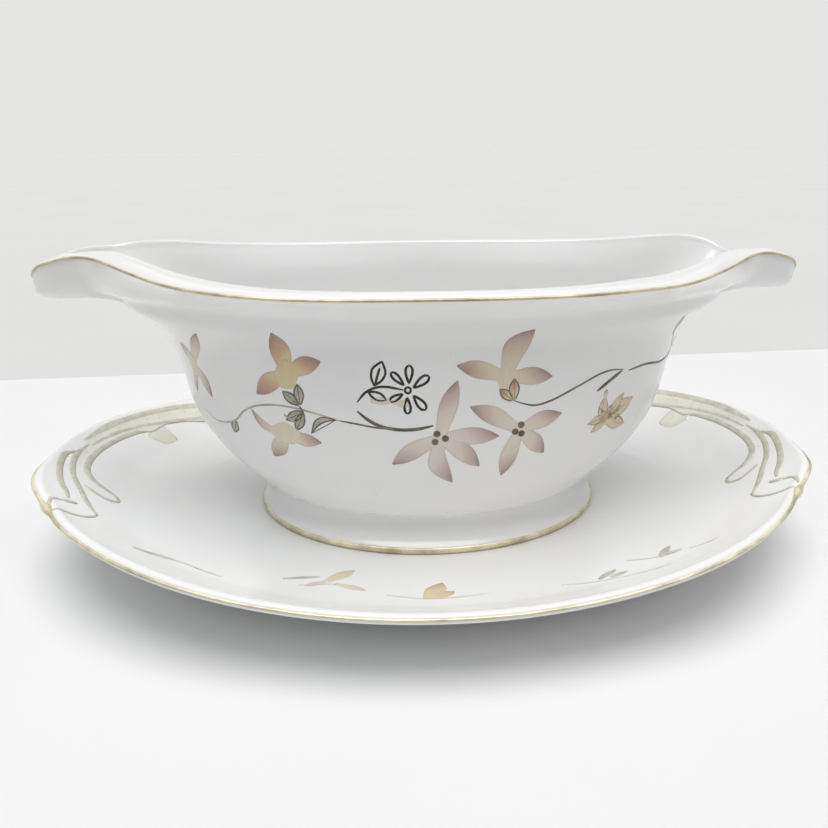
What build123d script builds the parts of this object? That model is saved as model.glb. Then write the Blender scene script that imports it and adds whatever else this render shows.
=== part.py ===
"""A footed oval gravy boat with a pouring lip at each end, standing on its own oval underplate."""
import os
from math import cos, radians, sin

from build123d import *

# Underplate, millimetres. Z = 0 is the table, X runs along the length.
plate_length = 240
plate_width = 178
plate_wall = 4.2
plate_edge_round = 1.4
well_height = 9.0
foot_ring_length = 122
foot_ring_width = 96
foot_ring_wall = 4
foot_ring_height = well_height - plate_wall / 2  # It ends inside the plate's wall.
# The dish rises from its flat well: height, half length and half width of each level of its upper face.
dish_levels = [
    (well_height, 63, 50),
    (10.5, 76, 61),
    (13.0, 88, 71),
    (16.5, 98, 80.5),
    (21.2, 105.5, 88.9),
    (26.4, 113.5, 95),
    (31.6, 119.7, 100),
    (40.0, 128, 107),
]

# Boat
boat_length = 232
lip_half_length = boat_length / 2
wall_top = 98  # The walls are built up to here, then the rim is cut to its line.
foot_edge_height = 1.2
neck_height = 18.0
bowl_floor_height = 22.5
rim_round = 1.2
lip_blend = 6
foot_round = 0.8
# Height, half length and half width of each level of the foot.
foot_levels = [
    (well_height, 55.2, 43.4),
    (well_height + foot_edge_height, 55.2, 43.4),
    (13.5, 52.2, 40.2),
    (neck_height, 51.0, 38.4),
]
# The hollow under the foot.
foot_hollow_levels = [(well_height, 51.0, 39.2), (17.0, 45.0, 32.5)]
# Height, half length, half width and sharpness of the ends (0.5 is an ellipse) of the bowl's outside.
bowl_levels = [
    (neck_height, 52.5, 39.8, 0.5),
    (23.0, 57.0, 42.9, 0.5),
    (31.0, 65.2, 46.1, 0.5),
    (41.0, 71.8, 47.6, 0.5),
    (52.0, 75.0, 47.7, 0.5),
    (62.0, 77.2, 46.9, 0.51),
    (70.0, 82.0, 46.5, 0.54),
    (76.0, 88.5, 47.1, 0.60),
    (80.5, 93.5, 48.4, 0.66),
    (84.5, 97.0, 50.1, 0.70),
    (wall_top, 101.0, 54.0, 0.72),
]
# The same for the bowl's inside.
cavity_levels = [
    (bowl_floor_height, 46.0, 32.5, 0.5),
    (27.0, 55.5, 39.3, 0.5),
    (35.0, 64.0, 43.1, 0.5),
    (45.0, 69.6, 43.9, 0.5),
    (55.0, 71.8, 43.7, 0.5),
    (64.0, 73.8, 42.9, 0.51),
    (72.0, 79.5, 42.6, 0.55),
    (78.0, 85.5, 43.3, 0.62),
    (83.0, 90.5, 44.9, 0.68),
    (87.0, 94.0, 47.2, 0.71),
    (wall_top, 100.0, 52.0, 0.72),
]
# Each lip is a trough: distance from the middle, half width and keel height of its outside.
lip_stations = [
    (68, 10.0, 60.0),
    (80, 13.0, 68.0),
    (88, 12.4, 74.2),
    (95, 11.0, 77.8),
    (103, 9.8, 78.8),
    (111, 8.8, 79.4),
    (lip_half_length, 6.4, 81.6),
]
# Distance from the middle, half width and floor height of the channel in each lip.
channel_stations = [
    (68, 7.0, 65.0),
    (80, 9.0, 74.5),
    (88, 8.6, 80.4),
    (95, 7.4, 83.2),
    (103, 6.4, 84.8),
    (110, 5.6, 85.6),
    (lip_half_length + 2, 4.6, 86.4),
]
lip_shoulder_height = 88.5
# The rim seen from the side: distance from the middle and height of its top edge.
rim_line = [(0, 85.9), (48, 86.1), (68, 88.7), (84, 91.4), (97, 90.9), (108, 88.8), (120, 84.5)]
rim_start_direction = (1, 0)
rim_end_direction = (1, -0.5)
rim_cutter_top = wall_top + 1
rim_cutter_depth = plate_width / 2
# A face counts as part of the rim's top when it looks up at least this much.
rim_least_upward = 0.7

# Each quarter of a bowl oval is a curve through points at these angles, in degrees, and its tip.
quarter_angles = (0, 24, 48, 70)


def oval_sections(levels):
    """Level ovals, each of four equal curves; more sharpness draws the two ends to narrower tips."""
    sections = []
    for height, half_length, half_width, sharpness in levels:
        quarter = [
            (half_length * sin(radians(turn)), half_width * cos(radians(turn)) ** (2 * sharpness))
            for turn in quarter_angles
        ]
        with BuildSketch(Plane.XY.offset(height)) as section:
            with BuildLine():
                Spline(*quarter, (half_length, 0), tangents=((1, 0), (0, -1)))
                mirror(about=Plane.YZ)
                mirror(about=Plane.XZ)
            make_face()
        sections.append(section.sketch)
    return sections


def ellipse_sections(levels, drop=0.0):
    """Level ellipses, each lowered by drop."""
    sections = []
    for height, half_length, half_width in levels:
        with BuildSketch(Plane.XY.offset(height - drop)) as section:
            Ellipse(half_length, half_width)
        sections.append(section.sketch)
    return sections


def trough_sections(stations, side):
    """Upright sections of a lip or its channel: round below, straight up to the top of the wall."""
    sections = []
    for distance, half_width, keel_height in stations:
        upright = Plane((side * distance, 0, 0), x_dir=(0, side, 0), z_dir=(side, 0, 0))
        left = (-half_width, lip_shoulder_height)
        right = (half_width, lip_shoulder_height)
        with BuildSketch(upright) as section:
            with BuildLine():
                Spline(left, (0, keel_height), right, tangents=((0, -1), (1, 0), (0, 1)))
                Polyline(right, (half_width, wall_top), (-half_width, wall_top), left)
            make_face()
        sections.append(section.sketch)
    return sections


os.makedirs("parts", exist_ok=True)

# Underplate: an oval dish of even wall, trimmed to its plan, on a foot ring.
with BuildPart() as underplate:
    loft(ellipse_sections(dish_levels, drop=plate_wall))
    with BuildSketch():
        Ellipse(plate_length / 2, plate_width / 2)
    extrude(amount=wall_top, mode=Mode.INTERSECT)
    loft(ellipse_sections(dish_levels), mode=Mode.SUBTRACT)
    with BuildSketch():
        Ellipse(foot_ring_length / 2, foot_ring_width / 2)
        Ellipse(foot_ring_length / 2 - foot_ring_wall, foot_ring_width / 2 - foot_ring_wall, mode=Mode.SUBTRACT)
    extrude(amount=foot_ring_height)
    rim_edges = underplate.edges().sort_by(SortBy.LENGTH)[-2:]
    ring_edges = underplate.faces().sort_by(Axis.Z)[0].edges()
    fillet(rim_edges, radius=plate_edge_round)
    fillet(ring_edges, radius=foot_round)
underplate.part.label = "underplate"
export_step(underplate.part, "parts/underplate.step")

# Boat: foot, bowl and both lips, hollowed, with the rim cut to its line.
with BuildPart() as boat:
    loft(ellipse_sections(foot_levels))
    loft(oval_sections(bowl_levels))
    for side in (1, -1):
        loft(trough_sections(lip_stations, side))
        fillet(boat.edges(Select.NEW), radius=lip_blend)
    loft(oval_sections(cavity_levels), mode=Mode.SUBTRACT)
    for side in (1, -1):
        loft(trough_sections(channel_stations, side), mode=Mode.SUBTRACT)
    loft(ellipse_sections(foot_hollow_levels), mode=Mode.SUBTRACT)
    with BuildSketch(Plane.XZ):
        with BuildLine():
            rim_half = Spline(*rim_line, tangents=(rim_start_direction, rim_end_direction))
            Polyline(rim_half @ 1, (rim_line[-1][0], rim_cutter_top), (0, rim_cutter_top), rim_half @ 0)
        make_face()
        mirror(about=Plane.YZ)
    extrude(amount=rim_cutter_depth, both=True, mode=Mode.SUBTRACT)
    upward_faces = boat.faces(Select.LAST).filter_by(lambda face: face.normal_at().Z > rim_least_upward)
    fillet(upward_faces.edges(), radius=rim_round)
    fillet(boat.faces().sort_by(Axis.Z)[0].edges(), radius=foot_round)
boat.part.label = "boat"
export_step(boat.part, "parts/boat.step")
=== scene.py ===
"""Looks of a two-lipped porcelain gravy boat on its oval underplate: glaze, gilding and enamel flowers."""
from math import cos, pi, radians, sin

import bmesh
import bpy
import numpy as np
from mathutils import Matrix, Vector
from mathutils.bvhtree import BVHTree


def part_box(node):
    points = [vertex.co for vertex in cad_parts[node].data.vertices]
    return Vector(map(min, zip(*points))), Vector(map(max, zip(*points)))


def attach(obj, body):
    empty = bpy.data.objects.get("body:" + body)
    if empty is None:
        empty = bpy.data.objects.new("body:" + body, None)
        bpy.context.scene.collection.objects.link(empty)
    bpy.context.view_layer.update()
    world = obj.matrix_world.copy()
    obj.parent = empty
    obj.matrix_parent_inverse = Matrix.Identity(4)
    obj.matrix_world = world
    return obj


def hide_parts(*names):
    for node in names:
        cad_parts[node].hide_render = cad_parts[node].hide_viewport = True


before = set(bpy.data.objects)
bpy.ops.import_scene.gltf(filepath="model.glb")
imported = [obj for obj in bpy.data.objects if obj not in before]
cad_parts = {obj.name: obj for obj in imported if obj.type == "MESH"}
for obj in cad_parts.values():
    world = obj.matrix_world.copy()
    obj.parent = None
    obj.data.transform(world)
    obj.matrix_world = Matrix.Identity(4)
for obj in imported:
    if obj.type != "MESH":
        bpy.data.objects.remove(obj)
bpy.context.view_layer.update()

# Shapes below are worked out in millimetres and become metres when a mesh is made.
mm = 0.001
boat_low, boat_high = (np.array(corner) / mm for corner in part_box("boat"))
plate_high = np.array(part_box("underplate")[1]) / mm
lip_reach = boat_high[0]
plate_half_length, plate_half_width = plate_high[:2]
well_height = boat_low[2]
foot_clearance = 0.05
foot_height = well_height + foot_clearance


# ---- curves and rings

def smooth_rows(rows, per_span, closed=False):
    """A smooth curve through rows of numbers or points: cubic spans whose pace follows the gaps."""
    rows = np.asarray(rows, float)
    if closed:
        rows = np.concatenate([rows[-1:], rows, rows[:2]])
    gaps = np.linalg.norm(np.diff(rows, axis=0), axis=-1)
    gaps = gaps.reshape(len(rows) - 1, -1).mean(axis=1) ** 0.5 + 1e-6
    slopes = np.diff(rows, axis=0) / gaps.reshape((-1,) + (1,) * (rows.ndim - 1))
    tangents = np.empty_like(rows)
    tangents[0], tangents[-1] = slopes[0], slopes[-1]
    for i in range(1, len(rows) - 1):
        before, after = gaps[i - 1], gaps[i]
        tangents[i] = (slopes[i - 1] * after + slopes[i] * before) / (before + after)
    spans = range(1, len(rows) - 2) if closed else range(len(rows) - 1)
    result = []
    for i in spans:
        for step in range(per_span):
            t = step / per_span
            result.append(
                rows[i] * (2 * t**3 - 3 * t**2 + 1)
                + tangents[i] * gaps[i] * (t**3 - 2 * t**2 + t)
                + rows[i + 1] * (3 * t**2 - 2 * t**3)
                + tangents[i + 1] * gaps[i] * (t**3 - t**2)
            )
    if not closed:
        result.append(rows[-1])
    return np.array(result)


# Steps in each span of a curve: one that is read by x, and one that is drawn.
reading_steps, drawing_steps = 12, 10


def follow(stations, x):
    """The smooth line through (x, value) stations, read at x."""
    line = smooth_rows(stations, reading_steps)
    return np.interp(x, line[:, 0], line[:, 1])


def even(path, spacing):
    """The same path with points at even spacing."""
    lengths = np.concatenate([[0], np.cumsum(np.linalg.norm(np.diff(path, axis=0), axis=1))])
    count = max(int(lengths[-1] / spacing), 4) + 1
    places = np.linspace(0, lengths[-1], count)
    return np.stack([np.interp(places, lengths, path[:, k]) for k in range(path.shape[1])], axis=1)


# ---- the boat's skin

body_points, lip_points = 56, 26
plan_points = 1500
lip_blend = 2.4
# A ring's last points, for its lip, start this many lip half widths from the middle line.
strip_share = 1.3
# The two lips aren't quite a pair: past lip_start the right (+X) one is a little shorter than the left.
lip_start, right_gain, left_gain = 88, -2.6, 0.4
# The right half's rim is also lower than the left's, by distance from the middle, on its near and far sides.
near_drop = [(0, 0), (50, 0.3), (64, 1.1), (76, 1.5), (88, 1.8), (98, 1.4), (108, 0.9), (118, 1.1)]
far_drop = [
    (0, 0), (76, 0), (84, 0.1), (88, 0.7), (91, 1.4), (94.3, 2.8), (97, 3.7), (101, 3.9), (106, 3.4),
    (112, 2.3), (118, 1.1),
]
# How much of that drop each height takes: none low on the wall, all of it at the rim.
drop_share = [(72, 0), (78, 0), (86, 1), (100, 1)]

# Height of the gilded edge, by distance from the middle along the length.
gold_edge = [
    (0, 84.4), (20, 84.5), (40, 84.8), (60, 85.7), (70, 86.5), (80, 88.0), (90, 89.4), (97, 89.8),
    (104, 89.4), (108, 88.4), (112, 87.0), (114.4, 85.2), (lip_reach + 0.6, 82.8),
]


def boat_ring(half_length, half_width, fullness, sharpness, reach, lip_half_width, heights):
    """One level ring of the boat's skin.

    In plan it is an oval, half_width * (1 - (x / half_length) ** fullness) ** sharpness, joined to a tongue
    with a round end out to reach. heights is a height, or stations above (+) or below (-) the gilded edge.
    """
    x = reach * np.sin(np.linspace(0, pi / 2, plan_points))
    oval = half_width * np.clip(1 - (x / half_length) ** fullness, 0, 1) ** sharpness
    if reach > half_length:
        into_end = np.clip((x - reach + lip_half_width) / lip_half_width, 0, 1)
        tongue = lip_half_width * np.sqrt(np.clip(1 - into_end**2, 0, 1))
        y = (oval**lip_blend + tongue**lip_blend) ** (1 / lip_blend)
    else:
        y = oval
    y[-1] = 0
    along = np.concatenate([[0], np.cumsum(np.hypot(np.diff(x), np.diff(y)))])
    joint = np.interp(-lip_half_width * strip_share, -y, along)
    places = np.concatenate([
        np.linspace(0, joint, body_points, endpoint=False),
        np.linspace(joint, along[-1], lip_points + 1),
    ])
    xs, ys = np.interp(places, along, x), np.interp(places, along, y)
    if isinstance(heights, list):
        zs = follow(gold_edge, xs) + follow(heights, xs)
    else:
        zs = np.full_like(xs, heights)
    quarter = np.stack([xs, ys, zs], axis=1)
    return around(quarter)


def around(quarter):
    """The whole ring from its quarter between the +Y side and the +X tip, with the two lips' differences."""
    past = (np.clip(quarter[:, 0] - lip_start, 0, None) / (lip_reach - lip_start)) ** 2
    far_right, left = quarter.copy(), quarter.copy()
    far_right[:, 0] += right_gain * past
    near_right = far_right.copy()
    share = follow(drop_share, quarter[:, 2])
    near_right[:, 2] -= follow(near_drop, quarter[:, 0]) * share
    far_right[:, 2] -= follow(far_drop, quarter[:, 0]) * share
    left[:, 0] += left_gain * past
    return np.concatenate([
        far_right[:-1],
        near_right[:0:-1] * (1, -1, 1),
        left[:-1] * (-1, -1, 1),
        left[:0:-1] * (-1, 1, 1),
    ])


def plain_ring(half_length, half_width, height, patch=6.0, sharpness=0.5):
    """An oval ring; patch is the half width of the strip that runs up into the lips."""
    return boat_ring(half_length, half_width, 2, sharpness, half_length, patch, height)


# Rings by half length, half width and height, and where needed the strip's half width and sharpness.
foot_rings = [plain_ring(*ring) for ring in (
    (45.0, 32.5, 16.6), (46.2, 33.8, 15.6), (50.4, 38.6, foot_height + 0.9),
    (50.9, 39.1, foot_height + 0.25), (51.6, 39.8, foot_height), (54.3, 42.4, foot_height),
    (55.0, 43.2, foot_height + 0.35), (55.2, 43.4, foot_height + 1.0), (54.8, 43.0, foot_height + 1.9),
    (53.4, 41.5, 12.2), (52.1, 40.0, 14.0), (51.2, 38.8, 16.4), (51.2, 38.5, 18.0), (52.0, 39.1, 19.1),
    (53.6, 40.3, 19.9),
)]
belly_rings = [plain_ring(*ring) for ring in (
    (55.6, 41.8, 21.6), (58.6, 43.7, 24.8), (62.1, 45.2, 28.0), (65.3, 46.2, 31.3), (68.2, 47.0, 35.2),
    (71.8, 47.6, 41.0), (74.0, 47.8, 47.0), (75.2, 47.7, 53.0, 5.5), (76.7, 47.0, 60.5, 5, 0.505),
    (80.1, 46.5, 67.5, 4.5, 0.53), (85.4, 46.3, 71.6, 4, 0.57), (91.0, 46.8, 74.6, 4, 0.63),
)]
# Half length, half width, fullness, sharpness, reach, lip half width, and heights from the gilded edge.
outer_rings = [
    (92.4, 47.5, 2.1, 0.68, 100.0, 4.2, [(0, -6.4), (60, -6.8), (80, -9.8), (90, -12.2), (100, -13.2)]),
    (95.6, 48.3, 2.25, 0.74, 115.0, 5.2, [
        (0, -4.4), (50, -4.7), (75, -6.6), (90, -10.6), (100, -12.0), (108, -11.0), (112, -9.4),
        (115, -6.6)]),
    (98.2, 49.1, 2.50, 0.85, 116.6, 6.6, [
        (0, -2.6), (50, -2.8), (75, -4.2), (90, -8.0), (100, -10.2), (108, -9.6), (112, -8.2), (116, -4.4)]),
    (101.0, 49.8, 2.85, 1.0, 116.5, 7.9, [
        (0, -1.4), (50, -1.4), (75, -2.2), (92, -5.6), (104, -7.6), (112, -6.4), (116.5, -2.4)]),
    (103.0, 50.2, 3.2, 1.11, 116.6, 8.8, [
        (0, -0.6), (50, -0.7), (75, -0.9), (92, -2.2), (106, -4.0), (112, -3.3), (116.6, -1.1)]),
    (104.0, 50.4, 3.45, 1.2, 116.5, 9.0, [(0, 0), (60, 0), (lip_reach, 0)]),
    (103.6, 50.1, 3.4, 1.19, 116.1, 8.7, [(0, 0.55), (60, 0.6), (lip_reach, 0.6)]),
    (101.5, 49.2, 3.15, 1.13, 115.4, 8.0, [(0, 1.1), (60, 1.4), (80, 2.1), (96, 1.0), (lip_reach, 0.8)]),
    (98.6, 47.8, 2.8, 1.06, 114.5, 7.0, [
        (0, 1.5), (50, 1.5), (70, 2.0), (80, 2.5), (88, 2.2), (96, 1.2), (114, 0.8)]),
    (97.0, 46.8, 2.62, 1.0, 113.7, 6.3, [
        (0, 1.5), (50, 1.5), (70, 2.1), (80, 2.6), (88, 2.3), (96, 1.2), (114, 0.6)]),
]
inner_rings = [
    (96.2, 46.3, 2.58, 0.98, 113.2, 6.0, [(0, 1.2), (50, 1.2), (80, 2.2), (95, 0.8), (104, 0.1), (113, 0.2)]),
    (95.6, 45.9, 2.54, 0.96, 112.4, 5.7, [
        (0, 0.4), (50, 0.4), (80, 1.3), (95, -0.2), (104, -1.0), (113, -0.5)]),
    (93.2, 44.9, 2.38, 0.89, 109.6, 4.9, [
        (0, -1.9), (50, -2.1), (80, -1.6), (95, -2.8), (104, -3.5), (109, -2.6)]),
    (88.0, 43.5, 2.15, 0.74, 102.5, 3.8, [(0, -6.4), (50, -6.8), (80, -7.4), (95, -5.8), (104, -5.0)]),
    (82.0, 42.8, 2.00, 0.58, 93.0, 2.6, [(0, -12.2), (50, -12.8), (80, -12.6), (93, -9.2)]),
]
cavity_rings = [plain_ring(*ring) for ring in (
    (76.2, 42.9, 67.5, 4.0, 0.53), (73.2, 43.1, 61.0, 4.5), (71.8, 43.6, 54.0, 5.0), (69.6, 43.8, 45.0),
    (66.0, 43.3, 37.5), (60.6, 41.5, 31.0), (55.0, 38.8, 26.8), (49.0, 34.8, 24.1), (42.0, 29.2, 22.8),
    (30.0, 20.0, 22.5), (12.0, 8.0, 22.5),
)]
wall_rings = [boat_ring(*ring) for ring in outer_rings]
gold_line_index = 5
gold_ring = wall_rings[gold_line_index]
boat_keys = foot_rings + belly_rings + wall_rings + [boat_ring(*ring) for ring in inner_rings] + cavity_rings


def ring_faces(count, size, closed=False):
    """Faces between a count of rings of size points, and from the last ring to the first if closed."""
    faces = []
    for i in range(count if closed else count - 1):
        a, b = i * size, (i + 1) % count * size
        for j in range(size):
            k = (j + 1) % size
            faces.append((a + j, a + k, b + k, b + j))
    return faces


def closed_skin(keys, per_span):
    """Corners and faces of a closed skin through rings, with a point at the middle of each end."""
    rows = smooth_rows(keys, per_span)
    count, size = rows.shape[:2]
    corners = rows.reshape(-1, 3).tolist()
    faces = ring_faces(count, size)
    for row in (0, count - 1):
        corners.append(rows[row].mean(axis=0).tolist())
        for j in range(size):
            faces.append((row * size + j, row * size + (j + 1) % size, len(corners) - 1))
    return corners, faces


# ---- the underplate's skin

# The dish's upper face: height, half length and half width of each level.
dish_levels = np.array([
    (well_height, 63, 50), (10.5, 76, 61), (13.0, 88, 71), (16.5, 98, 80.5),
    (21.2, 105.5, 88.9), (26.4, 113.5, 95), (31.6, 119.7, 100), (40.0, 128, 107),
])
dish_curve = smooth_rows(dish_levels, 16)
plate_wall = 4.2
edge_inset = 2.4
# How far the plan swells out past its oval, by y, at the right (+X) and left (-X) ends.
right_swell = [
    (-89, 0), (-84, 0.5), (-75, 1.9), (-62, 1.3), (-52, 0.3), (-44, -0.7), (-38, 0.4), (-31, 1.1), (-25, 0.5),
    (-14, -0.9), (0, -1.5), (30, -1.5), (60, -0.6), (89, 0),
]
left_swell = [
    (-89, 0), (-84, 0.5), (-75, 1.9), (-60, 2.2), (-50, 2.1), (-44, 1.3), (-38, 1.9), (-30, 2.3), (-23, 1.5),
    (-14, 0.0), (0, -1.2), (30, -1.5), (60, -0.6), (89, 0),
]
swell_depth = 12
plate_points = 384
halvings = 32


def dish_height(x, y):
    """Height of the dish's upper face over (x, y), found by halving."""
    low = np.full_like(x, well_height)
    high = np.full_like(x, dish_curve[-1, 0])
    for _ in range(halvings):
        middle = (low + high) / 2
        half_length = np.interp(middle, dish_curve[:, 0], dish_curve[:, 1])
        half_width = np.interp(middle, dish_curve[:, 0], dish_curve[:, 2])
        outside = (x / half_length) ** 2 + (y / half_width) ** 2 > 1
        low, high = np.where(outside, middle, low), np.where(outside, high, middle)
    return low


def plate_outline(inset):
    """The plate's plan at an inset: an oval whose near half swells a little towards each end."""
    turn = np.linspace(0, 2 * pi, plate_points, endpoint=False)
    x, y = plate_half_length * np.cos(turn), plate_half_width * np.sin(turn)
    swell = np.where(x > 0, follow(right_swell, y), follow(left_swell, y))
    outward = np.stack([np.cos(turn) / plate_half_length, np.sin(turn) / plate_half_width], axis=1)
    outward /= np.linalg.norm(outward, axis=1)[:, None]
    shift = swell * np.clip(1 - inset / swell_depth, 0, 1) - inset
    return x + outward[:, 0] * shift, y + outward[:, 1] * shift


def plate_ring(inset, rise=None, drop=0.0):
    """A ring at an inset from the outline: on the dish, or rise above the dish's edge, lowered by drop."""
    x, y = plate_outline(inset)
    if rise is None:
        z = dish_height(x, y) - drop
    else:
        z = dish_height(*plate_outline(edge_inset)) + rise
    return np.stack([x, y, z], axis=1)


def oval_ring(half_length, half_width, height):
    """A level oval ring of the plate."""
    turn = np.linspace(0, 2 * pi, plate_points, endpoint=False)
    x, y = half_length * np.cos(turn), half_width * np.sin(turn)
    return np.stack([x, y, np.full_like(turn, height)], axis=1)


well_half_length, well_half_width = dish_levels[0, 1:]
well_rings = [
    oval_ring(well_half_length * share, well_half_width * share, well_height)
    for share in (0.1, 0.4, 0.7, 0.88)
]
slope_rings = [plate_ring(inset) for inset in (38, 35, 32, 28, 24, 20, 16.5, 13, 10, 7.5, 5.5, 4, 3)]
edge_rings = [
    plate_ring(inset, rise)
    for inset, rise in (
        (2.2, 0.16), (1.6, 0.40), (1.0, 0.36), (0.5, 0.06), (0.15, -0.45), (0.0, -1.0), (0.1, -1.5),
        (0.5, -1.95), (1.2, -2.25), (2.2, -2.4),
    )
]
foot_ring_difference = 13
underside_rings = [
    plate_ring(inset, None, drop)
    for inset, drop in (
        (4, 2.7), (7, 3.1), (11, 3.6), (16, 4.0), (22, plate_wall), (28, plate_wall), (33, plate_wall),
        (37, plate_wall),
    )
]
foot_ring_rings = [
    oval_ring(half_length, half_length - foot_ring_difference, height)
    for half_length, height in (
        (63.5, 4.7), (61.7, 4.3), (61.1, 3.4), (61.0, 1.0), (60.7, 0.3), (60.0, 0.03), (59.0, 0.0),
        (58.0, 0.03), (57.3, 0.3), (57.0, 1.0), (56.9, 3.4), (56.3, 4.4), (54.5, 4.8), (40.0, 4.8),
        (18.0, 4.8),
    )
]
edge_line_index = 4
edge_line_ring = edge_rings[edge_line_index]
plate_keys = well_rings + slope_rings + edge_rings + underside_rings + foot_ring_rings


# ---- materials

class Nodes:
    """A short way to lay out a material's nodes; noise scales are in waves per metre."""

    def __init__(self, name):
        self.material = bpy.data.materials.new(name)
        self.material.use_nodes = True
        self.tree = self.material.node_tree
        self.shader = self.tree.nodes["Principled BSDF"]

    def add(self, kind, **settings):
        node = self.tree.nodes.new("ShaderNode" + kind)
        for key, value in settings.items():
            setattr(node, key, value)
        return node

    def link(self, source, target):
        self.tree.links.new(source, target)

    def noise(self, scale, detail=3.0, roughness=0.5):
        place = self.add("TexCoord")
        node = self.add("TexNoise")
        node.inputs["Scale"].default_value = scale
        node.inputs["Detail"].default_value = detail
        node.inputs["Roughness"].default_value = roughness
        self.link(place.outputs["Object"], node.inputs["Vector"])
        return node.outputs["Fac"]

    def ramp(self, factor, *stops):
        node = self.add("ValToRGB")
        ramp = node.color_ramp
        while len(ramp.elements) < len(stops):
            ramp.elements.new(0.5)
        for element, (place, color) in zip(ramp.elements, stops):
            element.position = place
            element.color = (*color, 1)
        self.link(factor, node.inputs["Fac"])
        return node.outputs["Color"]

    def mix(self, factor, first, second, blend="MIX"):
        node = self.add("Mix", data_type="RGBA", blend_type=blend)
        for socket, value in ((0, factor), (6, first), (7, second)):
            if isinstance(value, (tuple, float)):
                node.inputs[socket].default_value = (*value, 1) if isinstance(value, tuple) else value
            else:
                self.link(value, node.inputs[socket])
        return node.outputs[2]

    def span(self, factor, low, high):
        node = self.add("MapRange")
        node.inputs["To Min"].default_value = low
        node.inputs["To Max"].default_value = high
        self.link(factor, node.inputs["Value"])
        return node.outputs["Result"]

    def attribute(self, name):
        return self.add("Attribute", attribute_name=name).outputs["Fac"]

    def color(self, source):
        self.link(source, self.shader.inputs["Base Color"])

    def roughness(self, scale, detail, low, high):
        self.link(self.span(self.noise(scale, detail), low, high), self.shader.inputs["Roughness"])

    def bump(self, scale, detail, strength, distance):
        height = self.noise(scale, detail)
        node = self.add("Bump")
        node.inputs["Strength"].default_value = strength
        node.inputs["Distance"].default_value = distance
        self.link(height, node.inputs["Height"])
        self.link(node.outputs["Normal"], self.shader.inputs["Normal"])

    def set(self, **values):
        for name, value in values.items():
            self.shader.inputs[name.replace("_", " ")].default_value = value


def glaze(name, warm=(0.935, 0.930, 0.918), cool=(0.922, 0.928, 0.926)):
    """Clear glaze over white porcelain: faint warm and cool patches, soft waviness and fine kiln specks."""
    m = Nodes(name)
    patches = m.ramp(m.noise(14, 4), (0.38, cool), (0.64, warm))
    specks = m.ramp(m.noise(900, 2), (0.20, (0.72, 0.69, 0.64)), (0.27, (1, 1, 1)))
    m.color(m.mix(0.5, patches, specks, "MULTIPLY"))
    m.roughness(60, 5, 0.13, 0.24)
    m.bump(45, 2, 0.10, 0.0006)
    m.set(IOR=1.52, Coat_Weight=0.35, Coat_Roughness=0.05, Subsurface_Weight=0.04, Subsurface_Scale=0.004)
    return m.material


def gilding(name, bright=(0.80, 0.73, 0.52), dull=(0.40, 0.35, 0.22), roughness=(0.24, 0.46)):
    """A fired gold line, worn satin: brighter and duller stretches and fine brush grain."""
    m = Nodes(name)
    m.color(m.ramp(m.noise(90, 6, 0.6), (0.36, dull), (0.60, bright)))
    m.roughness(260, 5, *roughness)
    m.bump(2200, 3, 0.25, 0.00008)
    m.set(Metallic=0.6)
    return m.material


def petal_enamel():
    """Enamel petals: cream at the heart, shading to a deeper tip, with fine veins and a darker outline."""
    m = Nodes("petal_enamel")
    along, across, tone = m.attribute("along"), m.attribute("across"), m.attribute("tone")
    shade = m.add("Math", operation="MULTIPLY_ADD")
    m.link(across, shade.inputs[0])
    shade.inputs[1].default_value = 0.14
    m.link(along, shade.inputs[2])
    depth = shade.outputs["Value"]
    rose = m.ramp(
        depth, (0.0, (0.80, 0.75, 0.66)), (0.48, (0.74, 0.655, 0.58)), (0.78, (0.54, 0.395, 0.365)),
        (1.0, (0.30, 0.20, 0.19)))
    amber = m.ramp(
        depth, (0.0, (0.73, 0.63, 0.33)), (0.34, (0.70, 0.56, 0.31)), (0.64, (0.54, 0.32, 0.18)),
        (1.0, (0.29, 0.16, 0.14)))
    color = m.mix(tone, rose, amber)
    veins = m.add("TexWave", wave_type="BANDS", bands_direction="X")
    veins.inputs["Scale"].default_value = 1.3
    veins.inputs["Distortion"].default_value = 1.5
    spread = m.add("CombineXYZ")
    m.link(across, spread.inputs["X"])
    m.link(along, spread.inputs["Y"])
    m.link(spread.outputs["Vector"], veins.inputs["Vector"])
    color = m.mix(m.span(veins.outputs["Fac"], 0.0, 0.07), color, (0.55, 0.40, 0.36), "MULTIPLY")
    side = m.add("Math", operation="ABSOLUTE")
    m.link(across, side.inputs[0])
    edge = m.ramp(side.outputs["Value"], (0.78, (0, 0, 0)), (0.99, (0.30, 0.30, 0.30)))
    color = m.mix(edge, color, (0.36, 0.24, 0.22))
    pale_grain = m.span(m.noise(420, 4), 0.0, 0.22)
    color = m.mix(pale_grain, color, (0.88, 0.84, 0.78))
    m.color(color)
    m.roughness(300, 3, 0.16, 0.30)
    m.bump(1500, 3, 0.12, 0.00005)
    m.set(IOR=1.5, Coat_Weight=0.3, Coat_Roughness=0.08)
    return m.material


def line_enamel(name, dark, light, metal):
    """Thin printed lines: uneven strokes between two tones, with a little lustre."""
    m = Nodes(name)
    m.color(m.ramp(m.noise(340, 5, 0.65), (0.36, dark), (0.66, light)))
    m.roughness(700, 3, 0.26, 0.44)
    m.bump(2500, 2, 0.2, 0.00005)
    m.set(Metallic=metal)
    return m.material


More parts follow.
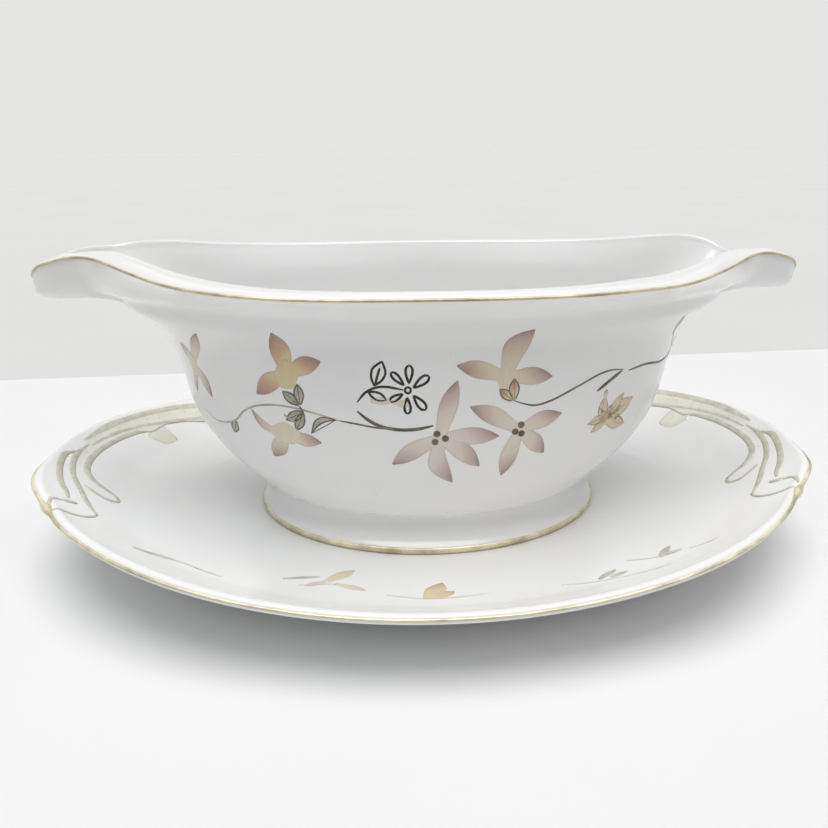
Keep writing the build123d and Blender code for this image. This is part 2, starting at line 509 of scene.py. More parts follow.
def gold_wash():
    """The pale gilded wash of the scroll bands, fading out to bare glaze by its own attribute."""
    m = Nodes("gold_wash")
    fade = m.attribute("along")
    wash = m.ramp(m.noise(120, 5, 0.6), (0.34, (0.69, 0.67, 0.58)), (0.66, (0.80, 0.78, 0.70)))
    m.color(m.mix(fade, wash, (0.92, 0.925, 0.92)))
    m.roughness(300, 3, 0.22, 0.36)
    m.bump(1300, 3, 0.08, 0.00005)
    m.set(Metallic=0.12, Coat_Weight=0.3, Coat_Roughness=0.08)
    return m.material


boat_glaze = glaze("boat_glaze_look")
plate_glaze = glaze("plate_glaze_look", cool=(0.912, 0.928, 0.928))
gold_look = gilding("gilding_look")
# The rim's line uses a darker, browner copy of the same gilding: painted shade, standing in for the dimmer
# look of the rim's gold where it faces away from the light.
rim_gold_shaded_look = gilding("rim_gilding_painted_shade_look", bright=(0.66, 0.59, 0.41), dull=(0.32, 0.27, 0.17))
scroll_gold = line_enamel("scroll_gold_look", (0.50, 0.48, 0.395), (0.67, 0.65, 0.555), 0.10)
petal_look = petal_enamel()
stem_look = line_enamel("stem_look", (0.085, 0.072, 0.05), (0.24, 0.205, 0.15), 0.2)
pale_stem_look = line_enamel("pale_stem_look", (0.36, 0.34, 0.28), (0.56, 0.54, 0.46), 0.1)
dish_stem_look = line_enamel("dish_stem_look", (0.46, 0.445, 0.39), (0.66, 0.64, 0.57), 0.1)
ink_look = line_enamel("ink_look", (0.010, 0.009, 0.008), (0.045, 0.035, 0.025), 0.2)
pale_gold_look = line_enamel("pale_gold_look", (0.22, 0.165, 0.095), (0.74, 0.64, 0.44), 0.35)
wash_look = gold_wash()


# ---- making pieces

class Piece:
    """Collects shapes in millimetres, then becomes one Blender object that rides on a body."""

    def __init__(self):
        self.corners, self.faces = [], []
        self.values = {"along": [], "across": [], "tone": []}

    def add(self, corners, faces, along=None, across=None, tone=0.0):
        start = len(self.corners)
        self.corners.extend(corners)
        self.faces.extend(tuple(start + k for k in face) for face in faces)
        count = len(corners)
        self.values["along"].extend(along if along is not None else [0.0] * count)
        self.values["across"].extend(across if across is not None else [0.0] * count)
        self.values["tone"].extend([tone] * count)

    def build(self, name, look, body, slot, turned=False):
        """Makes the object; turned gives the same shapes half a turn round the middle."""
        points = np.array(self.corners, float) * mm
        if turned:
            points = points * (-1, -1, 1)
        mesh = bpy.data.meshes.new(name)
        mesh.from_pydata(points.tolist(), [], self.faces)
        for key, values in self.values.items():
            mesh.attributes.new(key, "FLOAT", "POINT").data.foreach_set("value", values)
        work = bmesh.new()
        work.from_mesh(mesh)
        bmesh.ops.recalc_face_normals(work, faces=work.faces)
        for face in work.faces:
            face.smooth = True
        work.to_mesh(mesh)
        work.free()
        mesh.materials.append(look)
        piece = bpy.data.objects.new(name, mesh)
        bpy.context.scene.collection.objects.link(piece)
        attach(piece, body)
        return piece


tube_sides = 10


def tube(piece, path, across, upright):
    """A closed round line along a ring of points, by its half sizes across and upright.

    Each is one number for the whole line, or one for each point.
    """
    count = len(path)
    tangent = np.roll(path, -1, axis=0) - np.roll(path, 1, axis=0)
    tangent /= np.linalg.norm(tangent, axis=1)[:, None]
    side = np.cross(tangent, (0, 0, 1))
    side /= np.linalg.norm(side, axis=1)[:, None]
    up = np.cross(side, tangent)
    across = np.broadcast_to(across, count)
    upright = np.broadcast_to(upright, count)
    corners = []
    for i in range(count):
        for j in range(tube_sides):
            turn = 2 * pi * j / tube_sides
            corners.append(path[i] + side[i] * across[i] * cos(turn) + up[i] * upright[i] * sin(turn))
    piece.add(corners, ring_faces(count, tube_sides, closed=True))


class Surface:
    """A skin that thin decoration lies on. place() turns its own two coordinates into a point over it."""

    def __init__(self, corners, faces, ray):
        self.tree = BVHTree.FromPolygons([Vector(c) for c in corners], faces)
        self.ray = ray

    def place(self, u, v, lift=0.0):
        start, direction = self.ray(u, v)
        point, normal = self.tree.ray_cast(Vector(start), Vector(direction))[:2]
        if normal.dot(Vector(direction)) > 0:
            normal = -normal
        return np.array(point) + np.array(normal) * lift


# Rays start this high over the table, and this far out from the wall.
above_plate, off_wall = 60, 40


def plate_ray(x, y):
    """Straight down on the plate."""
    return (x, y, above_plate), (0, 0, -1)


# The oval that distances across the boat's wall are measured along.
wall_half_length, wall_half_width = 75.0, 47.7
wall_turns = np.linspace(0, pi / 2, 600)
wall_steps = np.hypot(
    np.diff(wall_half_length * np.sin(wall_turns)),
    np.diff(wall_half_width * np.cos(wall_turns)),
)
wall_arc = np.concatenate([[0], np.cumsum(wall_steps)])


def wall_ray(across, height):
    """Level and square to the boat's front wall, from a distance across its middle and a height."""
    turn = np.interp(abs(across), wall_arc, wall_turns) * np.sign(across)
    normal = np.array([sin(turn) / wall_half_length, -cos(turn) / wall_half_width, 0])
    normal /= np.linalg.norm(normal)
    foot = np.array([wall_half_length * sin(turn), -wall_half_width * cos(turn), height])
    return foot + normal * off_wall, -normal


# A raised line's section: offset as a share of its half width, and rise as a share of its height.
line_section = ((-1, 0.0), (-0.6, 0.75), (0, 1.0), (0.6, 0.75), (1, 0.0))
# A line's edge lies just over the skin, and a sheet's hidden underside this deep in it.
line_clearance = 0.01
sheet_depth = 0.1
# A line grows to its full size over a sixth of its length.
taper_pace = 6


def stroke(piece, surface, stations, half_width, height, taper=0.5, spacing=0.9, sink=0.12):
    """A raised line over a surface through stations; taper is the share of its size it loses at each end."""
    path = even(smooth_rows(stations, drawing_steps), spacing)
    tangent = np.gradient(path, axis=0)
    tangent /= np.linalg.norm(tangent, axis=1)[:, None]
    side = np.stack([-tangent[:, 1], tangent[:, 0]], axis=1)
    corners = []
    for i, (point, aside) in enumerate(zip(path, side)):
        t = i / (len(path) - 1)
        size = 1 - taper + taper * min(1, taper_pace * t, taper_pace * (1 - t))
        for offset, rise in line_section:
            place = point + aside * offset * half_width * size
            corners.append(surface.place(*place, line_clearance + rise * height * size))
        for offset in (1, -1):
            place = point + aside * offset * half_width * size
            corners.append(surface.place(*place, -sink))
    sides = len(line_section) + 2
    ends = [tuple(range(sides)), tuple(range(len(corners) - sides, len(corners)))]
    piece.add(corners, ring_faces(len(path), sides) + ends)


def sheet_faces(rows, columns):
    """Faces of a thin sheet: an upper grid of points, the same grid below it, and the walls between them."""
    layer_size = rows * columns
    faces = []
    for i in range(rows - 1):
        for j in range(columns - 1):
            a = i * columns + j
            face = (a, a + 1, a + columns + 1, a + columns)
            faces += [face, tuple(layer_size + k for k in reversed(face))]
    rim = (
        list(range(columns))
        + [i * columns + columns - 1 for i in range(1, rows)]
        + [(rows - 1) * columns + j for j in range(columns - 2, -1, -1)]
        + [i * columns for i in range(rows - 2, 0, -1)]
    )
    for a, b in zip(rim, rim[1:] + rim[:1]):
        faces.append((a, b, layer_size + b, layer_size + a))
    return faces


# A petal's half width along its length, as a share of its widest.
petal_outline = [(0, 0.52), (0.22, 0.74), (0.44, 0.97), (0.57, 1.0), (0.72, 0.84), (0.86, 0.50), (1, 0.0)]
petal_rows, petal_columns = 13, 7
petal_start, petal_end = 0.02, 0.985
edge_thickness = 0.6
petal_skirt = 0.25


def petal(piece, surface, base, tip, width, bend=0.0, tone=0.0, lift=0.05, behind=0.0, deepest=1.0):
    """A thin petal from base (and a share of its length behind it) to tip, bowed sideways by bend.

    It thins towards its edges, and its underside is wider by petal_skirt, so it runs softly into the glaze.
    deepest is how far its colour goes towards that of a full petal's tip.
    """
    base, tip = np.array(base, float), np.array(tip, float)
    length = np.linalg.norm(tip - base)
    direction = (tip - base) / length
    aside = np.array([-direction[1], direction[0]])
    corners, along, across = [], [], []
    for layer in (lift, -sheet_depth):
        for t in np.linspace(petal_start - behind, petal_end, petal_rows):
            spread = width / 2 * follow(petal_outline, t) + (0 if layer > 0 else petal_skirt)
            middle = base + direction * length * t + aside * bend * sin(pi * t)
            for s in np.linspace(-1, 1, petal_columns):
                thickness = edge_thickness + (1 - edge_thickness) * (1 - s * s) if layer > 0 else 1
                corners.append(surface.place(*(middle + aside * spread * s), layer * thickness))
                along.append(max(t, 0) * deepest)
                across.append(s * deepest)
    piece.add(corners, sheet_faces(petal_rows, petal_columns), along, across, tone)


# Half of a leaf's outline: place along it, and offset as a share of its width.
pointed_leaf = ((0, 0), (0.3, 0.42), (0.62, 0.5), (1, 0))
round_leaf = ((0, 0), (0.25, 0.26), (0.62, 0.5), (0.88, 0.38), (1, 0))


def leaf_outline(piece, surface, base, tip, width, half_width, shape=pointed_leaf, bend=0.0, height=0.06):
    """The outline of a leaf or petal: two lines from base to tip; half_width is each line's own."""
    base, tip = np.array(base, float), np.array(tip, float)
    direction = tip - base
    aside = np.array([-direction[1], direction[0]]) / np.linalg.norm(direction)
    for flip in (1, -1):
        stations = [base + direction * t + aside * (width * s * flip + bend * sin(pi * t)) for t, s in shape]
        stroke(piece, surface, stations, half_width, height, taper=0.3, spacing=0.5)


def dot(piece, surface, across, height, radius, rise=0.24, sides=14):
    """A small round raised dot."""
    corners = [surface.place(across, height, rise)]
    for share, lift in ((0.6, rise * 0.9), (1.0, rise * 0.6), (1.0, -sheet_depth)):
        for k in range(sides):
            turn = 2 * pi * k / sides
            u, v = across + radius * share * cos(turn), height + radius * share * sin(turn)
            corners.append(surface.place(u, v, lift))
    faces = [(0, 1 + k, 1 + (k + 1) % sides) for k in range(sides)]
    for ring in (0, 1):
        for k in range(sides):
            a, b = 1 + ring * sides + k, 1 + ring * sides + (k + 1) % sides
            faces.append((a, a + sides, b + sides, b))
    faces.append(tuple(1 + 2 * sides + k for k in reversed(range(sides))))
    piece.add(corners, faces)


band_rows, band_columns = 72, 10
# Where the fading starts and how long it is, as shares of the band's length.
fade_start, fade_length = 0.6, 0.38
# How far the band's top sinks while it fades, as a share of its height over the skin.
fade_drop = 1.3


def band(piece, surface, first, second, lift=0.2):
    """A thin filled band between two lines, whose last part fades out and sinks into the glaze."""
    first, second = (even(smooth_rows(line, drawing_steps), 0.5) for line in (first, second))
    corners, along = [], []
    for layer in (lift, -sheet_depth):
        for i in range(band_rows):
            t = i / (band_rows - 1)
            fade = min(1, max(0, (t - fade_start) / fade_length))
            height = layer * (1 - fade_drop * fade) if layer > 0 else layer
            a = first[int(round(t * (len(first) - 1)))]
            b = second[int(round(t * (len(second) - 1)))]
            for s in np.linspace(0, 1, band_columns):
                corners.append(surface.place(*(a + (b - a) * s), height))
                along.append(fade)
    piece.add(corners, sheet_faces(band_rows, band_columns), along)


# ---- porcelain

def porcelain(body, look, keys, per_span, ray):
    """A body's closed skin through rings, and the surface that its decoration lies on."""
    corners, faces = closed_skin(keys, per_span)
    skin = Piece()
    skin.add(corners, faces)
    return skin.build(f"{body}_porcelain", look, body, f"{body}_glaze"), Surface(corners, faces, ray)


boat_object, wall = porcelain("boat", boat_glaze, boat_keys, 4, wall_ray)
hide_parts("boat")
plate_object, dish = porcelain("underplate", plate_glaze, plate_keys, 3, plate_ray)
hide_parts("underplate")


# ---- gilded lines

def gilded_line(name, look, body, path, across, upright):
    """A gold line all round a ring."""
    line = Piece()
    tube(line, path, across, upright)
    line.build(name, look, body, "gilding")


gilded_line("boat_rim_gilding", rim_gold_shaded_look, "boat", gold_ring, 0.4, 0.4)
foot_line_ring = plain_ring(54.75, 42.95, foot_height + 1.05)
gilded_line("boat_foot_gilding", gold_look, "boat", foot_line_ring, 0.55, 1.0)

# The plate's line is thin at the back, wider at the front, and widest at the front near each end.
end_reach, end_blend = 60, 40
front_start, front_blend = 12, 20
back_line, front_gain, end_gain = 0.2, 0.14, 0.25
# At the notch in each end it thickens to a small node.
notch_y, node_length = 43.8, 2.4
node_across, node_upright = 0.9, 0.7
line_x, line_y = np.abs(edge_line_ring[:, 0]), -edge_line_ring[:, 1]
towards_end = np.clip((line_x - end_reach) / end_blend, 0, 1)
towards_front = np.clip((line_y - front_start) / front_blend, 0, 1)
node = np.exp(-(((line_y - notch_y) / node_length) ** 2)) * (towards_end > 0)
edge_line = back_line + towards_front * (front_gain + end_gain * towards_end)
edge_across, edge_upright = edge_line + node_across * node, edge_line + node_upright * node
gilded_line("underplate_edge_gilding", gold_look, "underplate", edge_line_ring, edge_across, edge_upright)


# ---- scrollwork at the plate's ends

# Each line is given at the +X end, in plan. The other end mirrors it, set a little further out and forward.
inner_scroll = [
    (99.2, 31.8), (102.0, 29.6), (104.6, 25.4), (107.4, 18.4), (109.4, 9), (109.6, 0), (107.8, -7),
    (104, -11.2), (100, -12.8), (96.8, -14.6),
]
hook_return = [(96.8, -14.6), (96.2, -17), (98.6, -18.6), (102.4, -17.8), (105.4, -16.0)]
middle_scroll = [
    (112.6, 9), (113.2, 2), (112.2, -6), (109.6, -13), (105.2, -20), (100.8, -27), (96.2, -32.8),
]
leaf_turn = [(96.2, -32.6), (96.6, -36.6), (99.0, -40.2), (101.4, -41.6), (104.2, -42.8)]
outer_scroll = [
    (114.0, 1.0), (115.2, -3), (114.4, -9), (112.2, -16), (109.4, -22), (106.4, -26.4), (104.8, -29.6),
]
leaf_stub = [(104.8, -33.4), (103.6, -32.0), (102.2, -30.6)]
outer_turn = [(104.6, -33.4), (105.8, -34.6), (106.2, -37), (105.2, -40.4)]
upper_line = [
    (114.0, 9.5), (112.6, 17), (110, 26), (105.6, 35), (101, 42), (95, 49), (88, 55), (80, 60.5), (71, 65.6),
]
lower_line = [
    (111.9, 9), (110.4, 16), (107.8, 23.4), (103.4, 31.4), (98, 38.2), (91.6, 45), (84, 51.4), (76, 57.4),
    (70.8, 62.4),
]
# Each line with its half width, all made bolder by the same share.
gilt_lines = (
    (inner_scroll, 0.86), (hook_return, 0.60), (middle_scroll, 0.72), (leaf_turn, 0.56), (outer_scroll, 0.78),
    (leaf_stub, 0.95), (outer_turn, 0.50), (upper_line, 1.15), (lower_line, 0.85),
)
scroll_boldness, scroll_rise, scroll_sink = 1.12, 0.26, 0.1
# The pale wash fills the band between these two lines, and a soft leaf beside it.
wash_outside = upper_line[::-1] + middle_scroll[1:-2]
wash_inside = [(71, 64), (76, 55.5), (84, 49), (91, 44.5), (96, 39)] + inner_scroll[:-2]
wash_leaf, wash_leaf_width, wash_leaf_bend = [(101.4, 30.6), (91.0, 34.4)], 8.6, -0.6
left_out, left_forward = 0.3, 3.0


def at_end(stations, side):
    """The same plan line at the right (+X) or left (-X) end."""
    if side > 0:
        return stations
    return [(-x - left_out, y - left_forward) for x, y in stations]


for side, end in ((1, "right"), (-1, "left")):
    lines, wash = Piece(), Piece()
    for stations, half_width in gilt_lines:
        line = at_end(stations, side)
        stroke(lines, dish, line, half_width * scroll_boldness, scroll_rise, sink=scroll_sink)
    band(wash, dish, at_end(wash_outside, side), at_end(wash_inside, side))
    leaf_ends = at_end(wash_leaf, side)
    petal(wash, dish, *leaf_ends, wash_leaf_width, wash_leaf_bend * side, lift=0.1, deepest=0.0)
    lines.build(f"scroll_gilding_{end}", scroll_gold, "underplate", "gilding")
    wash.build(f"scroll_wash_{end}", wash_look, "underplate", "gilding")


# ---- flowers on the boat's wall

# Places on the wall are a distance across from the middle of its front, and a height above the table.
# Centre, tone (0 rose, 1 amber), and the heart's width and height.
# Then each petal: tip, width and bend.
wall_flowers = [
    ((-74.1, 61.3), 0.25, (4.4, 7.5), [
        (-66.9, 72.0, 3.6, 0.3), (-77.6, 67.4, 3.4, 0), (-67.2, 52.6, 3.4, 0.8), (-75.9, 52.4, 2.6, 0)]),
    ((-40.0, 63.4), 1.0, (6.6, 8.4), [
        (-43.1, 74.6, 5.8, -0.3), (-30.2, 67.4, 4.9, 0.5), (-49.8, 56.8, 5.2, -0.7)]),
    ((-41.8, 46.6), 0.35, (9.0, 6.6), [
        (-52.2, 52.5, 2.4, 2.0), (-46.9, 38.4, 5.0, 0.4), (-31.0, 44.8, 3.8, -0.4)]),
    ((0.9, 47.2), 0.05, (3.4, 3.4), [
        (5.7, 62.8, 4.9, 0.4), (17.0, 46.8, 4.9, 0.4), (11.8, 38.2, 5.0, 0.6), (4.4, 33.5, 5.2, -2.4),
        (-12.0, 39.4, 4.8, -0.6)]),
    ((22.4, 48.0), 0.1, (3.2, 3.2), [
        (8.7, 55.6, 4.9, -0.6), (34.9, 51.5, 4.8, 0.5), (30.3, 40.2, 4.8, 0.4), (18.0, 34.5, 4.8, -0.2)]),
    ((18.6, 62.8), 0.45, (5.4, 7.4), [
        (5.2, 66.6, 4.7, -0.4), (25.9, 75.3, 6.2, 1.9), (31.8, 62.0, 4.7, 0.3)]),
]
flower_dots = [(0.1, 48.4), (2.3, 47.0), (-0.4, 46.1), (22.9, 49.5), (21.3, 47.7), (23.1, 47.0)]
# Small petals away from the flowers: base, tip, width, tone and depth of colour.
loose_petals = [
    ((-17.2, 57.4), (-11.4, 57.4), 2.0, 0.2, 0.4), ((-11.6, 57.4), (-6.8, 56.2), 1.8, 0.2, 0.4),
    ((49.0, 53.2), (49.6, 56.0), 1.6, 0.0, 1.0),
]
# Stems as half width and stations: first the pale ones.
pale_wall_stems = [
    (0.28, [
        (-73.0, 47.7), (-68.4, 45.6), (-62.3, 46.2), (-58.5, 47.7), (-54.8, 51.1), (-50.7, 53.2),
        (-44.1, 54.4), (-36.7, 54.0), (-31.0, 52.9), (-25.6, 51.6)]),
    (0.34, [(-41.6, 52.0), (-38.6, 50.2), (-36.0, 50.0)]),
    (0.28, [(84.0, 61.0), (81.2, 63.4), (79.4, 65.6), (77.4, 67.8)]),
]
wall_stems = [
    (0.26, [(-25.6, 51.6), (-20.7, 50.9), (-15.9, 50.1), (-11.7, 49.8)]),
    (0.48, [(-20.8, 54.5), (-18.0, 52.2), (-14.3, 50.4), (-9.6, 49.6), (-4.9, 49.8), (-0.9, 50.7)]),
    (0.24, [(-37.0, 54.9), (-36.0, 53.8), (-35.6, 53.0)]),
    (0.27, [
        (20.8, 56.4), (23.9, 55.2), (26.8, 54.6), (31.1, 55.3), (38.7, 58.0), (46.8, 60.8), (51.0, 61.3),
        (55.6, 60.7)]),
    (0.50, [(54.9, 60.5), (50.2, 58.2), (46.1, 56.0)]),
    (0.36, [(57.6, 60.1), (65.0, 60.5), (74.3, 59.3), (80.0, 59.4), (84.0, 61.0)]),
]
# Leaves as base, tip, width and bend, and then those of the golden bud under the right flower.
wall_leaves = [
    ((-58.6, 47.6), (-60.3, 43.4), 2.6, 0),
    ((-37.0, 55.1), (-41.6, 58.5), 2.4, 0), ((-36.5, 55.2), (-37.2, 60.9), 2.6, 0),
    ((-35.7, 53.3), (-41.0, 50.5), 2.6, 0), ((-35.7, 53.0), (-38.2, 47.7), 2.5, 0),
    ((-26.6, 51.8), (-33.8, 47.3), 1.5, -1.9),
    ((84.0, 61.0), (90.4, 65.2), 3.0, 0), ((83.2, 60.6), (88.4, 57.0), 2.6, 0),
]
bud_leaves = [((20.7, 56.5), (20.8, 62.4), 2.6, 0), ((20.4, 56.5), (16.8, 59.8), 2.2, 0)]
# The closed bud on the last pale stem.
stem_bud = ((77.4, 67.2), (75.4, 73.4), 1.8)
# The dark outline sprig: leaves and petals as base, tip and width, its stems and its round middle.
sprig_leaves = [((-16.2, 61.4), (-14.0, 67.9), 3.5), ((-17.8, 59.7), (-13.0, 57.6), 1.9)]
sprig_petals = [
    ((-8.4, 61.6), (-11.7, 65.0), 1.5), ((-7.1, 62.1), (-7.0, 66.9), 1.8), ((-6.0, 60.9), (-1.9, 64.0), 1.9),
    ((-6.0, 58.9), (-2.8, 55.1), 1.9), ((-7.6, 58.4), (-7.5, 54.0), 1.6), ((-8.7, 59.3), (-12.1, 57.4), 1.4),
]
sprig_stems = [
    [(-20.8, 56.9), (-18.6, 59.5), (-15.9, 60.9), (-13.3, 61.2), (-8.6, 60.4)],
    [(-16.0, 61.4), (-15.3, 64.0), (-14.6, 66.2)],
]
sprig_middle = [(-7.4 + 0.78 * cos(t), 60.3 + 0.78 * sin(t)) for t in np.linspace(0, 2 * pi, 9)]
# The small gilt sprig: soft petals as base, tip and width, and one loose brushed line over them.
gilt_middle = (51.4, 47.6)
gilt_petals = [
    ((48.4, 46.0), (49.2, 54.2), 3.0), ((51.0, 47.0), (60.9, 51.6), 4.2), ((50.0, 46.4), (59.2, 43.6), 3.6),
    ((50.6, 47.4), (56.6, 53.8), 2.6), ((51.0, 48.0), (43.8, 46.6), 2.4), ((51.0, 47.0), (45.4, 43.8), 2.2),
]
gilt_scribble = [(51.8 + 4.2 * cos(2.4 * k), 48.4 + 3.6 * sin(3.1 * k)) for k in range(22)]
# How high the lines rise, and how far apart the points of the short ones are.
line_rise, stem_rise, fine_spacing = 0.07, 0.08, 0.6


def halfway(base, tip):
    """The point midway between two."""
    return (np.array(base) + np.array(tip)) / 2


def flowers(petals):
    """The six flowers, each of overlapping petals with a heart on top, and the loose petals."""
    for centre, tone, (heart_width, heart_height), tips in wall_flowers:
        for k, (across, height, width, bend) in enumerate(tips):
            lift = 0.05 + 0.012 * k
            petal(petals, wall, centre, (across, height), width, bend, tone, lift, behind=0.08)
        below = (centre[0], centre[1] - heart_height / 2)
        above = (centre[0], centre[1] + heart_height / 2)
        petal(petals, wall, below, above, heart_width, 0, tone, lift=0.12, deepest=0.25)
    for base, tip, width, tone, deepest in loose_petals:
        petal(petals, wall, base, tip, width, 0, tone, deepest=deepest)


def veined_leaf(fill, lines, leaf, tone, lift, deepest, outline_rise, vein_rise):
    """A filled leaf on the wall, with its outline and its middle vein."""
    base, tip, width, bend = leaf
    petal(fill, wall, base, tip, width, bend, tone, lift, deepest=deepest)
    leaf_outline(lines, wall, base, tip, width, 0.22, bend=bend, height=outline_rise)
    stroke(lines, wall, [base, halfway(base, tip), tip], 0.14, vein_rise, spacing=fine_spacing)


def stems_and_leaves(petals, stems, pale):
    """The running stems with their leaves, the golden bud, and the dots in the flowers' hearts."""
    for half_width, stations in pale_wall_stems:
        stroke(pale, wall, stations, half_width, line_rise)
    for half_width, stations in wall_stems:
        stroke(stems, wall, stations, half_width, stem_rise)
    for leaf in wall_leaves:
        veined_leaf(pale, stems, leaf, tone=0, lift=0.02, deepest=1.0, outline_rise=0.06, vein_rise=0.05)
    petal(pale, wall, *stem_bud)
    for leaf in bud_leaves:
        veined_leaf(petals, stems, leaf, tone=1.0, lift=0.16, deepest=0.85, outline_rise=0.22, vein_rise=0.22)
    for across, height in flower_dots:
        dot(stems, wall, across, height, radius=0.94)


def outline_sprig(ink):
    """The dark sprig, drawn in lines only."""
    for base, tip, width in sprig_leaves:
        leaf_outline(ink, wall, base, tip, width, 0.32)
    for base, tip, width in sprig_petals:
        leaf_outline(ink, wall, base, tip, width, 0.35, round_leaf)
    for stations in sprig_stems:
        stroke(ink, wall, stations, 0.34, line_rise, spacing=fine_spacing)
    stroke(ink, wall, sprig_middle, 0.32, line_rise, taper=0, spacing=0.3)


def gilt_sprig(petals, gilt):
    """The small sprig in pale gold: soft petals under loose lines."""
    for base, tip, width in gilt_petals:
        petal(petals, wall, base, tip, width, 0, 0.6, lift=0.04, behind=0.1, deepest=0.5)
        leaf_outline(gilt, wall, base, tip, width, 0.2)
        vein = [gilt_middle, halfway(base, tip), tip]
        stroke(gilt, wall, vein, 0.18, line_rise, spacing=fine_spacing)
    stroke(gilt, wall, gilt_scribble, 0.2, 0.12, spacing=fine_spacing)


# The back wall carries the front's decoration, turned half way round.
for turned, side in ((False, "front"), (True, "back")):
    petals, stems, pale, ink, gilt = Piece(), Piece(), Piece(), Piece(), Piece()
    flowers(petals)
    stems_and_leaves(petals, stems, pale)
    outline_sprig(ink)
    gilt_sprig(petals, gilt)
    for piece, name, look, slot in (
        (petals, "petals", petal_look, "enamel"),
        (stems, "stems", stem_look, "enamel"),
        (pale, "pale_stems", pale_stem_look, "enamel"),
        (ink, "sprig", ink_look, "enamel"),
        (gilt, "gilt_sprig", pale_gold_look, "gilding"),
    ):
        piece.build(f"wall_{name}_{side}", look, "boat", slot, turned)


# ---- small sprays on the plate

# Petals in plan as base, tip, width, tone.
dish_petals = [
    ((-30.5, -58.4), (-22.8, -51.0), 4.0, 0.4), ((-30.5, -58.4), (-35.6, -62.0), 2.6, 0.4),
    ((-28.0, -60.0), (-19.2, -64.6), 2.8, 0.2),
    ((-3.6, -71.4), (0.8, -59.8), 5.4, 1.0), ((-3.0, -71.0), (3.6, -66.0), 4.2, 1.0),
]
# Leaves in plan as base, tip, width.
dish_leaves = [
    ((-82.0, -51.0), (-70.0, -52.8), 2.2), ((-42.0, -57.6), (-31.6, -55.2), 1.6),
    ((41.0, -66.8), (47.4, -60.6), 2.2), ((44.0, -66.6), (49.6, -63.2), 2.0),
    ((60.2, -57.6), (65.8, -49.8), 2.2), ((62.0, -56.6), (67.4, -54.4), 2.0),
]
# Stems in plan as half width and stations.
dish_stems = [
    (0.36, [(-74, -52.0), (-69, -53.4), (-63, -57.0), (-57, -60.4)]),
    (0.34, [(-37.0, -61.8), (-32.4, -60.6), (-28.0, -60.0)]),
    (0.34, [(-14, -67.8), (-8.6, -69.8), (-3.6, -71.2), (4, -70.6), (12, -68.8)]),
    (0.36, [(31, -67.4), (38, -68.2), (47, -67.6), (54, -66.6), (61, -64.6)]),
    (0.36, [(52, -55.4), (57, -56.6), (61, -56.6), (64, -54.4)]),
    (0.40, [(69, -55.4), (73, -55.4), (77.6, -54.0)]),
]
dish_bend = 0.2
for turned, side in ((False, "front"), (True, "back")):
    petals, stems = Piece(), Piece()
    for base, tip, width, tone in dish_petals:
        petal(petals, dish, base, tip, width, dish_bend, tone, deepest=0.6)
    for base, tip, width in dish_leaves:
        petal(stems, dish, base, tip, width, dish_bend)
    for half_width, stations in dish_stems:
        stroke(stems, dish, stations, half_width, line_rise)
    petals.build(f"dish_petals_{side}", petal_look, "underplate", "enamel", turned)
    stems.build(f"dish_stems_{side}", dish_stem_look, "underplate", "enamel", turned)


# ---- table, light and camera

stage_variation = 0.02


def stage_plane(name, side, front, back, height, color, slant=0.0):
    """A pale level surface, no part of the object; slant turns its back edge."""
    m = Nodes(name + "_look")
    dark = tuple(c * (1 - stage_variation) for c in color)
    m.color(m.ramp(m.noise(7, 5), (0.35, dark), (0.65, color)))
    m.roughness(80, 4, 0.72, 0.86)
    m.bump(900, 3, 0.08, 0.0002)
    corners = [
        (-side, front, height), (side, front, height),
        (side, back + slant, height), (-side, back - slant, height),
    ]
    mesh = bpy.data.meshes.new(name)
    mesh.from_pydata(corners, [], [(0, 1, 2, 3)])
    mesh.materials.append(m.material)
    plane = bpy.data.objects.new(name, mesh)
    bpy.context.scene.collection.objects.link(plane)


# The table ends in front, out of the camera's view, and its back edge slants as in the photograph.
# The darker floor in front of it ends under its front edge, and the pale one reaches all round.
table_front, room = -0.28, 6
stage_plane("table", 1.2, table_front, 0.179, 0, (0.885, 0.89, 0.89), slant=0.074)
stage_plane("room_floor", room, -room, table_front, -0.001, (0.48, 0.48, 0.48))
stage_plane("studio_floor", room, -room, room, -0.002, (0.735, 0.735, 0.73))


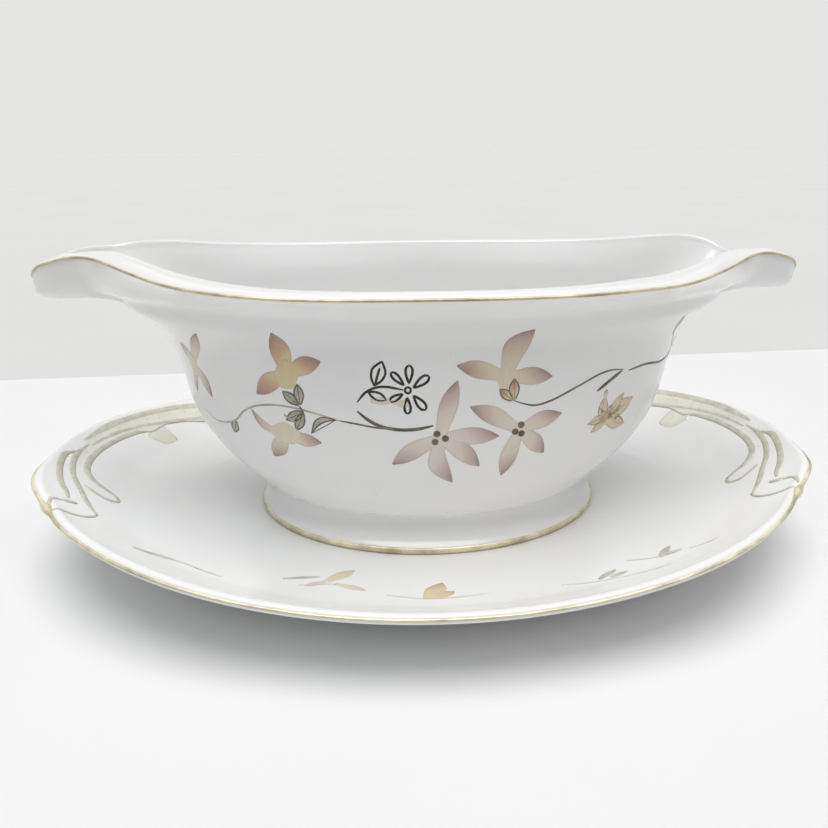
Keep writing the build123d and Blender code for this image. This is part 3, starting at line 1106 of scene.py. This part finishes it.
def studio_world(light, shown):
    """Even soft light from all round, which the camera and reflections see as the floor's pale grey."""
    world = bpy.data.worlds.new("studio")
    world.use_nodes = True
    nodes, links = world.node_tree.nodes, world.node_tree.links
    lit = nodes["Background"]
    lit.inputs["Color"].default_value = (0.98, 0.99, 1.0, 1)
    lit.inputs["Strength"].default_value = light
    seen = nodes.new("ShaderNodeBackground")
    seen.inputs["Color"].default_value = (1.0, 1.0, 0.99, 1)
    seen.inputs["Strength"].default_value = shown
    path, pick = nodes.new("ShaderNodeLightPath"), nodes.new("ShaderNodeMixShader")
    either = nodes.new("ShaderNodeMath")
    either.operation = "MAXIMUM"
    links.new(path.outputs["Is Camera Ray"], either.inputs[0])
    links.new(path.outputs["Is Glossy Ray"], either.inputs[1])
    links.new(either.outputs["Value"], pick.inputs["Fac"])
    links.new(lit.outputs["Background"], pick.inputs[1])
    links.new(seen.outputs["Background"], pick.inputs[2])
    links.new(pick.outputs["Shader"], nodes["World Output"].inputs["Surface"])
    bpy.context.scene.world = world


def soft_sky(name, direction, spread, strength, color):
    """A wide soft light from far away, as from a large diffuser; spread is its whole angle."""
    light = bpy.data.lights.new(name, "SUN")
    light.energy, light.angle, light.color = strength, spread, color
    lamp = bpy.data.objects.new(name, light)
    lamp.rotation_euler = (-Vector(direction)).to_track_quat("-Z", "Y").to_euler()
    bpy.context.scene.collection.objects.link(lamp)


studio_world(0.07, 0.78)
soft_sky("overhead_diffuser", (0, -0.08, 1), radians(48), 1.90, (1.0, 0.995, 0.985))
soft_sky("wide_diffuser", (0, -0.05, 1), radians(118), 1.08, (0.99, 0.995, 1))

scene = bpy.context.scene
scene.view_settings.view_transform = "Standard"

# The camera stands in front of the boat, close and a little above it.
camera_distance, camera_height = 0.2312, 0.1219
camera_yaw, camera_pitch, camera_roll = radians(-2.84), radians(21.65), radians(-0.35)
frame_width = 36.0
focal_share = 750 / 828
camera_data = bpy.data.cameras.new("camera")
camera_data.sensor_width = frame_width
camera_data.lens = frame_width * focal_share
camera_data.shift_x, camera_data.shift_y = -0.0164, 0.0211
camera_data.clip_start = 0.01
camera = bpy.data.objects.new("camera", camera_data)
camera.location = (camera_distance * sin(camera_yaw), -camera_distance * cos(camera_yaw), camera_height)
camera.rotation_euler = (
    Matrix.Rotation(camera_yaw, 3, "Z") @ Matrix.Rotation(pi / 2 - camera_pitch, 3, "X")
    @ Matrix.Rotation(camera_roll, 3, "Z")
).to_euler()
scene.collection.objects.link(camera)
scene.camera = camera
